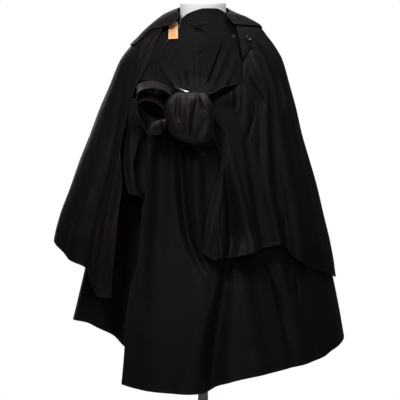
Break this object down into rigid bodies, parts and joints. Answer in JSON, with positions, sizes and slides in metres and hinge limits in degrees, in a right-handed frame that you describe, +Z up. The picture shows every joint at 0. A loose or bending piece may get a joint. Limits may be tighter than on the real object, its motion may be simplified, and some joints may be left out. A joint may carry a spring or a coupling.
{
  "type": "cape on a dress form",
  "caption": "Black two-tier cape: draped asymmetrical front, neck panel gathered through a metal ring into a knot with a bow loop and tail, on a white limbless dress form with stand.",
  "frame": {"origin": "centre of the stand base's underside", "axes": "+Z up along the stand's pole; the wearer's front faces -Y"},
  "size_m": [0.7537, 0.5792, 1.5],
  "materials": {
    "wool": "soft satin-faced wool, brown-black",
    "lining": "matt crepe, blue-black",
    "form_cloth": "smooth white jersey",
    "steel": "polished",
    "label": "woven tape, blank",
    "button": "glossy black"
  },
  "bodies": {
    "root": {"short_back": "wool", "short_left_front": "wool", "short_right_front": "wool", "drape_facing": "wool", "long_back": "wool", "long_front": "wool", "neck_panel": "lining", "neck_gather": "lining", "neck_roll": "wool", "left_facing": "wool", "scarf_knot": "wool", "bow_loop": "wool", "bow_lip": "wool", "scarf_tail": "wool", "scarf_ring": "steel", "label": "label", "shoulder_button": "button", "neck_hook": "steel", "form_torso": "form_cloth", "stand_pole": "steel", "stand_base": "steel"}
  },
  "joints": []
}
